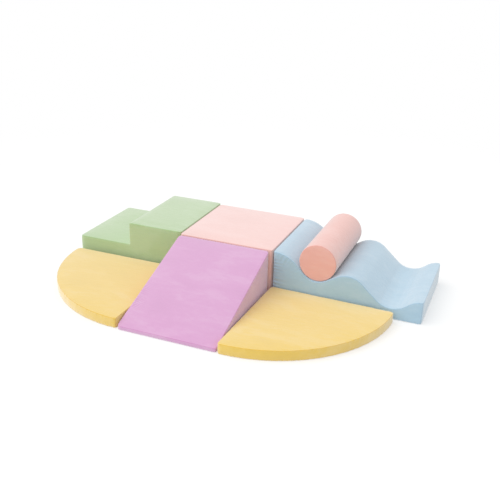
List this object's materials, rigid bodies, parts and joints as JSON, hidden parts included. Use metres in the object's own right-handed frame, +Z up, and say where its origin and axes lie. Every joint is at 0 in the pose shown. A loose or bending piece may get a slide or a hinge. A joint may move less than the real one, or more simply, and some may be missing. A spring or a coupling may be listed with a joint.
{
  "type": "toddler climber",
  "caption": "Soft play climber: step, level, wave and ramp foam blocks with quarter-round mats beside the ramp and a loose roller in the wave's dip.",
  "frame": {"origin": "on the floor under the middle of the square block, on its base panel", "axes": "+X along the back row from the step block to the wave block, +Y from the ramp to the back row, +Z up"},
  "size_m": [1.8198, 1.1224, 0.2949],
  "materials": {
    "green_cloth": "short-pile suede cloth with a soft sheen",
    "pink_cloth": "short-pile suede cloth with a soft sheen",
    "purple_cloth": "short-pile suede cloth with a soft sheen",
    "blue_cloth": "short-pile suede cloth with a soft sheen",
    "yellow_cloth": "short-pile suede cloth with a soft sheen",
    "rose_cloth": "short-pile suede cloth with a soft sheen",
    "green_zip": "woven zip tape with a fine nylon coil",
    "pink_zip": "woven zip tape with a fine nylon coil",
    "purple_zip": "woven zip tape with a fine nylon coil",
    "blue_zip": "woven zip tape with a fine nylon coil",
    "yellow_zip": "woven zip tape with a fine nylon coil",
    "rose_zip": "woven zip tape with a fine nylon coil",
    "foam": null,
    "base_cloth": "woven cloth with small non-slip dots",
    "hook_and_loop": "hook-and-loop tape, matt",
    "slider_enamel": "enamelled die casting, satin"
  },
  "bodies": {
    "square_block": {"square_foam_core": "foam", "square_cover": "pink_cloth", "square_base_panel": "base_cloth", "square_zip": "pink_zip", "square_left_patch": "hook_and_loop", "square_right_patch": "hook_and_loop", "square_front_patch": "hook_and_loop"},
    "step_block": {"step_lower_foam": "foam", "step_upper_foam": "foam", "step_cover": "green_cloth", "step_base_panel": "base_cloth", "step_zip": "green_zip", "step_patch": "hook_and_loop"},
    "wave_block": {"wave_foam_core": "foam", "wave_cover": "blue_cloth", "wave_base_panel": "base_cloth", "wave_zip": "blue_zip", "wave_patch": "hook_and_loop"},
    "wedge": {"wedge_foam_core": "foam", "wedge_cover": "purple_cloth", "wedge_base_panel": "base_cloth", "wedge_zip": "purple_zip", "wedge_back_patch": "hook_and_loop", "wedge_left_patch": "hook_and_loop", "wedge_right_patch": "hook_and_loop"},
    "left_mat": {"left_mat_foam_core": "foam", "left_mat_cover": "yellow_cloth", "left_mat_base_panel": "base_cloth", "left_mat_zip": "yellow_zip", "left_mat_patch": "hook_and_loop"},
    "right_mat": {"right_mat_foam_core": "foam", "right_mat_cover": "yellow_cloth", "right_mat_base_panel": "base_cloth", "right_mat_zip": "yellow_zip", "right_mat_patch": "hook_and_loop"},
    "square_slider": {"square_zip_slider": "slider_enamel"},
    "step_slider": {"step_zip_slider": "slider_enamel"},
    "wave_slider": {"wave_zip_slider": "slider_enamel"},
    "wedge_slider": {"wedge_zip_slider": "slider_enamel"},
    "left_mat_slider": {"left_mat_zip_slider": "slider_enamel"},
    "right_mat_slider": {"right_mat_zip_slider": "slider_enamel"},
    "roller_core": {"roller_foam_core": "foam"},
    "roller": {"roller_cover": "rose_cloth", "roller_front_end": "rose_cloth", "roller_back_end": "rose_cloth", "roller_zip": "rose_zip"},
    "roller_slider": {"roller_zip_slider": "slider_enamel"}
  },
  "joints": [
    {"name": "step_pull_away", "type": "slide", "parent": "square_block", "child": "step_block", "axis": [-1, 0, 0], "range_m": [0, 0.3]},
    {"name": "wave_pull_away", "type": "slide", "parent": "square_block", "child": "wave_block", "axis": [1, 0, 0], "range_m": [0, 0.3]},
    {"name": "wedge_pull_away", "type": "slide", "parent": "square_block", "child": "wedge", "axis": [0, -1, 0], "range_m": [0, 0.3]},
    {"name": "left_mat_pull_away", "type": "slide", "parent": "wedge", "child": "left_mat", "axis": [-1, 0, 0], "range_m": [0, 0.3]},
    {"name": "right_mat_pull_away", "type": "slide", "parent": "wedge", "child": "right_mat", "axis": [1, 0, 0], "range_m": [0, 0.3]},
    {"name": "roller_lift", "type": "slide", "parent": "wave_block", "child": "roller_core", "axis": [0, 0, 1], "range_m": [0, 0.2]},
    {"name": "roller_roll", "type": "hinge", "parent": "roller_core", "child": "roller", "pos_m": [0.4674, -0.006, 0.2049], "axis": [0, 1, 0], "continuous": true},
    {"name": "roller_zip_pull", "type": "hinge", "parent": "roller", "child": "roller_slider", "pos_m": [0.4674, 0.232, 0.2049], "axis": [0, 1, 0], "range_deg": [0, 246]},
    {"name": "square_zip_pull", "type": "slide", "parent": "square_block", "child": "square_slider", "axis": [-1, 0, 0], "range_m": [0, 0.372]},
    {"name": "step_zip_pull", "type": "slide", "parent": "step_block", "child": "step_slider", "axis": [1, 0, 0], "range_m": [0, 0.372]},
    {"name": "wave_zip_pull", "type": "slide", "parent": "wave_block", "child": "wave_slider", "axis": [-1, 0, 0], "range_m": [0, 0.372]},
    {"name": "wedge_zip_pull", "type": "slide", "parent": "wedge", "child": "wedge_slider", "axis": [-1, 0, 0], "range_m": [0, 0.372]},
    {"name": "left_mat_zip_pull", "type": "slide", "parent": "left_mat", "child": "left_mat_slider", "axis": [1, 0, 0], "range_m": [0, 0.372]},
    {"name": "right_mat_zip_pull", "type": "slide", "parent": "right_mat", "child": "right_mat_slider", "axis": [-0.9997, 0.0262, 0], "range_m": [0, 0.372]}
  ]
}
